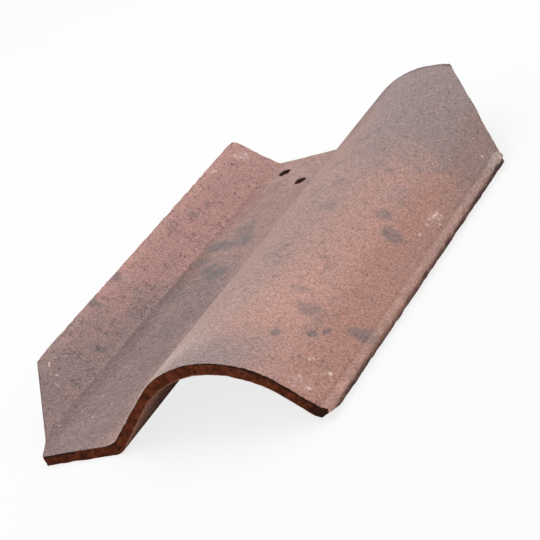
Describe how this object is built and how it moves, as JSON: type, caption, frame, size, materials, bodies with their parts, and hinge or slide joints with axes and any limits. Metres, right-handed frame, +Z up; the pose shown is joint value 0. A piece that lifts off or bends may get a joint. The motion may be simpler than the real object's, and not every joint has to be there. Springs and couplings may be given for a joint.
{
  "type": "clay roof tile",
  "caption": "S-profile fired-clay roof tile with an upturned side, flat pan, arched roll, mitred corners and nail holes; laps over its neighbours to shed rain.",
  "frame": {"origin": "centre of the bottom of the bounding box, on the level floor the tile lies on", "axes": "+X across the tile towards the roll's lip, +Y along the tile from the tail to the head, +Z up"},
  "size_m": [0.3072, 0.457, 0.0625],
  "materials": {
    "fired_clay": "matte sanded fired clay with grey kiln flashing"
  },
  "bodies": {
    "root": {"roof_tile": "fired_clay"}
  },
  "joints": []
}
